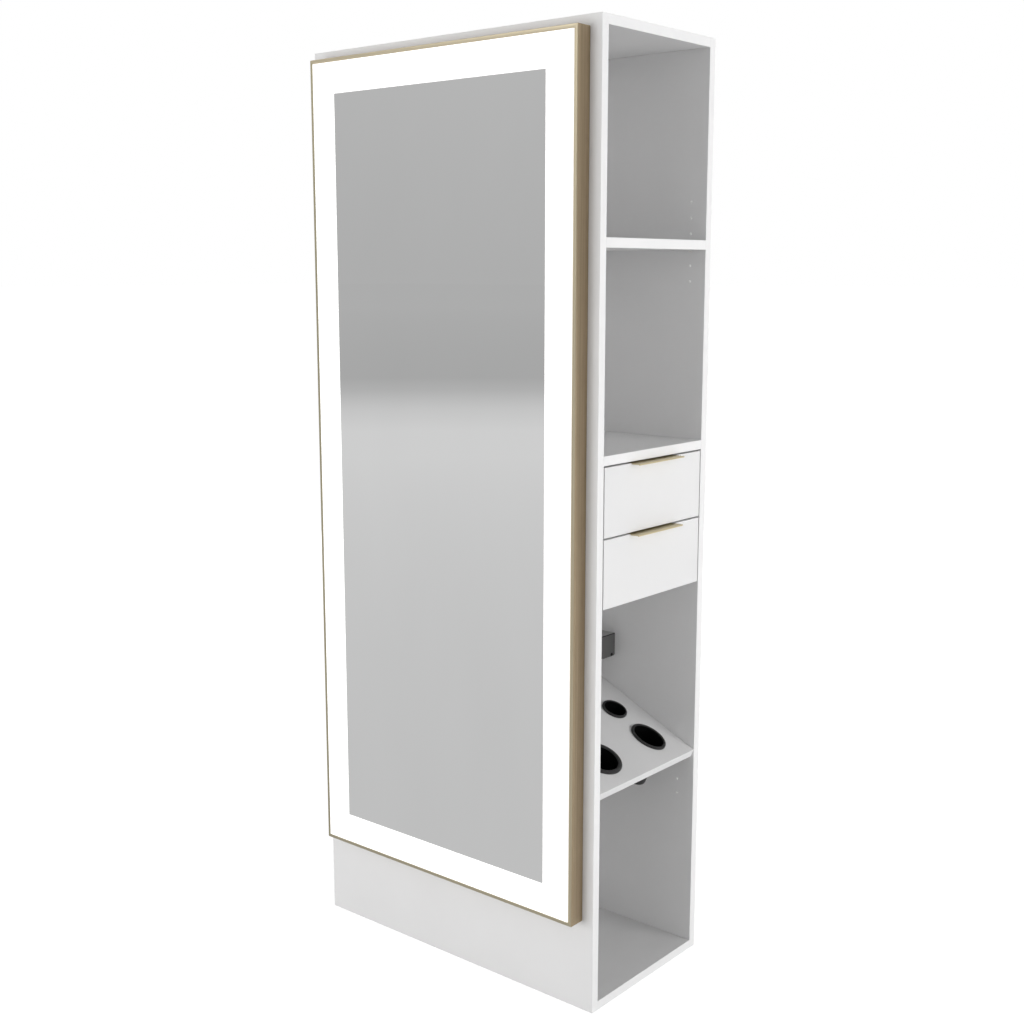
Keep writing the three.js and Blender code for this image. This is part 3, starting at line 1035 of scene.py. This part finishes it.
pinSizes = {
    "pitch": 0.032,
    "setback": 0.037,
    "upperRows": (-2, -1, 1, 2, 3),  # free holes, in pitches from the upper shelf
    "lowerHole": 0.354,
    "lowerRows": (0, 1),
    "lowerSetback": 0.042,
    "capRadius": 0.0027,
    "capHeight": 0.0022,
    "capSides": 24,
    "capSteps": 6,
    "capAngle": 60,
    "padReach": 0.011,
    "padHalf": 0.004,
    "padThickness": 0.0014,
    "stemDrop": 0.005,
    "ease": 0.0004,
}
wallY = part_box("back_panel")[0].y
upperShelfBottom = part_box("right_upper_shelf")[0].z
upperHoles = [upperShelfBottom + row * pinSizes["pitch"] for row in pinSizes["upperRows"]]
lowerHoles = [pinSizes["lowerHole"] + row * pinSizes["pitch"] for row in pinSizes["lowerRows"]]


def pinColumns(setback):  # one near the open end, and one near the partition
    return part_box("front_panel")[1].x - setback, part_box("centre_partition")[1].x + setback


def ontoWall(piece, side, x, z):  # modelled standing on +Z with +Y up, then set on the wall at side
    piece.rotation_euler = (math.pi / 2, 0, 0 if side > 0 else math.pi)
    piece.location = (x, side * wallY, z)
    return applyPlace(piece)


def makeCap():
    cap = addDisc("cap", pinSizes["capRadius"], 0, pinSizes["capSides"])
    startEdit(cap)
    pickAll()
    angles = [math.pi / 2 * step / pinSizes["capSteps"] for step in range(pinSizes["capSteps"])]
    for before, after in zip(angles, angles[1:]):  # up the dome, ring by ring
        extrude(z=pinSizes["capHeight"] * (math.sin(after) - math.sin(before)))
        scaleTo(math.cos(after) / math.cos(before))
    faceOutwards()
    endEdit()
    smooth(cap, pinSizes["capAngle"])
    paint(cap, capWhite)
    return cap


def makePin():  # a flat pad under the shelf and a stem down the wall
    thick = pinSizes["padThickness"]
    pin = addBlock("pin", (-pinSizes["padHalf"], -thick, 0), (pinSizes["padHalf"], 0, pinSizes["padReach"]))
    startEdit(pin)
    cutAt((0, 0, thick), (0, 0, 1))
    pickFaces(lambda middle, normal: normal.y < -facing and middle.z < thick)
    extrude(y=thick - pinSizes["stemDrop"])
    endEdit()
    easeEdges(pin, pinSizes["ease"])
    smooth(pin)
    paint(pin, nickel)
    return pin


def makePinsAndCaps():
    cap, pin = makeCap(), makePin()
    caps, pins = [], []
    for side in (-1, 1):
        for x in pinColumns(pinSizes["setback"]):
            caps += [ontoWall(copyOf(cap, "cap_copy"), side, x, z) for z in upperHoles]
            pins.append(ontoWall(copyOf(pin, "pin_copy"), side, x, upperShelfBottom))
        for x in pinColumns(pinSizes["lowerSetback"]):
            caps += [ontoWall(copyOf(cap, "cap_copy"), side, x, z) for z in lowerHoles]
    for model in (cap, pin):
        bpy.data.objects.remove(model)
    bothEnds(joinPieces("pin_caps", caps), "cabinet", "white_laminate")
    bothEnds(joinPieces("shelf_pins", pins), "cabinet", "slide_steel")


makePinsAndCaps()
print("shelf pins and caps made")


# Nodes that keep their own shape, behind the mirrors

keptNodes = {"mirror_backing": backing, "led_strip": litAcrylic, "led_driver": outletGrey}
for nodeName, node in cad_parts.items():
    for word, finish in keptNodes.items():
        if word in nodeName:
            for materialSlot in node.material_slots:
                materialSlot.material = finish


# Floor, light and camera

studio = {
    "floorSize": 240,
    "floorTone": 0.74,
    "floorGlow": 0.89,
    "floorShade": 0.25,
    "skyTones": (0.77, 0.40),  # at the horizon, and at skyHeight
    "skyHeight": 0.8,
    "mirrorDistance": 60,  # what the mirrors reflect of the floor, by distance and tone
    "mirrorTones": [(1.0, 0.61), (5.0, 0.675), (8.5, 0.726), (10.4, 0.726), (12.5, 0.65), (14.9, 0.511),
                    (17.0, 0.454), (30.0, 0.47), (55.0, 0.49)],
    "horizonTone": 0.498,  # and of the sky
    "zenithTone": 0.60,
    "zenithHeight": 0.3,
    "softboxTowards": (-0.45, -0.80, 0.40),
    "softboxSpread": (math.radians(17), math.radians(11)),
    "softboxTone": 5.0,
}
lamps = {
    "frontLeft": {"place": (-1.2, -4.5, 1.0), "size": (2.6, 2.0), "power": 86},
    "backRight": {"place": (4.6, 0.7, 1.5), "size": (3.0, 1.5), "power": 103},
    "backLeft": {"place": (-3.4, 3.6, 1.2), "size": (2.4, 2.0), "power": 66},
    "above": {"place": (0, 0, 3.4), "size": (0.9, 0.6), "power": 1.4, "spread": math.radians(60)},
}
photoView = {
    "place": (1.921, -2.283, 1.485),
    "towards": (-0.63244, 0.75540, -0.17143),
    "lens": 48.65,
}


def grey(value):
    return (value, value, value, 1)


def greyStops(stops):
    return [(place, (tone,) * 3) for place, tone in stops]


def mixShaders(tree, choice, first, second):
    mix = tree.nodes.new("ShaderNodeMixShader")
    tree.links.new(choice, mix.inputs[0])
    tree.links.new(first.outputs[0], mix.inputs[1])
    tree.links.new(second.outputs[0], mix.inputs[2])
    return mix


def makeFloor():
    bpy.ops.object.select_all(action="DESELECT")
    bpy.ops.mesh.primitive_plane_add(size=studio["floorSize"])
    floor = newPiece("studioFloor")
    material, tree, shader = newFinish("paleFloor")
    tree.nodes.remove(shader)
    paths = tree.nodes.new("ShaderNodeLightPath")
    matt = tree.nodes.new("ShaderNodeBsdfDiffuse")
    matt.inputs["Color"].default_value = grey(studio["floorTone"])
    shade = tree.nodes.new("ShaderNodeBsdfDiffuse")
    shade.inputs["Color"].default_value = grey(studio["floorShade"])
    glow = tree.nodes.new("ShaderNodeEmission")
    glow.inputs["Strength"].default_value = studio["floorGlow"]
    seen = tree.nodes.new("ShaderNodeAddShader")  # white, with the object's soft shadow
    tree.links.new(shade.outputs[0], seen.inputs[0])
    tree.links.new(glow.outputs[0], seen.inputs[1])
    place = tree.nodes.new("ShaderNodeTexCoord")
    distance = tree.nodes.new("ShaderNodeVectorMath")
    distance.operation = "LENGTH"
    tree.links.new(place.outputs["Object"], distance.inputs[0])
    furthest = studio["mirrorDistance"]
    share = rangeNode(tree, distance.outputs["Value"], 0, 1, (0, furthest))
    stops = greyStops((away / furthest, tone) for away, tone in studio["mirrorTones"])
    mirrored = tree.nodes.new("ShaderNodeEmission")
    tree.links.new(rampNode(tree, share, stops), mirrored.inputs["Color"])
    lit = mixShaders(tree, paths.outputs["Is Camera Ray"], matt, seen)
    whole = mixShaders(tree, paths.outputs["Is Glossy Ray"], lit, mirrored)
    tree.links.new(whole.outputs[0], tree.nodes["Material Output"].inputs["Surface"])
    paint(floor, material)


def makeSky():
    sky = bpy.data.worlds.new("studioSky")
    sky.use_nodes = True
    tree = sky.node_tree
    light = tree.nodes["Background"]
    white = tree.nodes.new("ShaderNodeBackground")
    white.inputs["Color"].default_value = grey(1)
    place = tree.nodes.new("ShaderNodeTexCoord")
    parts = tree.nodes.new("ShaderNodeSeparateXYZ")
    tree.links.new(place.outputs["Generated"], parts.inputs[0])
    horizon, zenith = studio["skyTones"]
    skyStops = greyStops([(0, horizon), (studio["skyHeight"], zenith)])
    tree.links.new(rampNode(tree, parts.outputs["Z"], skyStops), light.inputs["Color"])
    rise = rangeNode(tree, parts.outputs["Z"], 0, 1, (0, studio["zenithHeight"]))
    tones = greyStops([(0, studio["horizonTone"]), (1, studio["zenithTone"])])
    mirrored = tree.nodes.new("ShaderNodeBackground")
    glossed = tree.nodes.new("ShaderNodeBackground")
    for reflected in (mirrored, glossed):
        tree.links.new(rampNode(tree, rise, tones), reflected.inputs["Color"])
    turned = tree.nodes.new("ShaderNodeVectorMath")  # a softbox that metal reflects, but not the mirrors
    turned.operation = "DOT_PRODUCT"
    turned.inputs[1].default_value = Vector(studio["softboxTowards"]).normalized()
    tree.links.new(place.outputs["Generated"], turned.inputs[0])
    reach = [math.cos(angle) for angle in studio["softboxSpread"]]
    strength = rangeNode(tree, turned.outputs["Value"], 1, studio["softboxTone"], reach)
    tree.links.new(strength, glossed.inputs["Strength"])
    paths = tree.nodes.new("ShaderNodeLightPath")
    seen = mixShaders(tree, paths.outputs["Is Camera Ray"], light, white)
    reflected = mixShaders(tree, paths.outputs["Is Singular Ray"], glossed, mirrored)
    whole = mixShaders(tree, paths.outputs["Is Glossy Ray"], seen, reflected)
    tree.links.new(whole.outputs[0], tree.nodes["World Output"].inputs["Surface"])
    bpy.context.scene.world = sky


def makeLamp(name, lamp):
    bpy.ops.object.select_all(action="DESELECT")
    bpy.ops.object.light_add(type="AREA", location=lamp["place"])
    light = bpy.context.object
    light.name = name
    light.data.shape = "RECTANGLE"
    light.data.size, light.data.size_y = lamp["size"]
    light.data.energy = lamp["power"]
    light.data.spread = lamp.get("spread", math.pi)
    aim = Vector((0, 0, cadHigh.z / 2)) - Vector(lamp["place"])
    light.rotation_euler = aim.to_track_quat("-Z", "Y").to_euler()
    light.visible_glossy = False  # the softboxes don't show in the mirrors


def makeCamera():
    bpy.ops.object.select_all(action="DESELECT")
    bpy.ops.object.camera_add(location=photoView["place"])
    camera = bpy.context.object
    camera.rotation_euler = Vector(photoView["towards"]).to_track_quat("-Z", "Y").to_euler()
    camera.data.lens = photoView["lens"]
    bpy.context.scene.camera = camera


makeFloor()
makeSky()
for lampName, lamp in lamps.items():
    makeLamp(lampName, lamp)
makeCamera()
bpy.context.scene.view_settings.view_transform = "Standard"
print("floor, light and camera made")
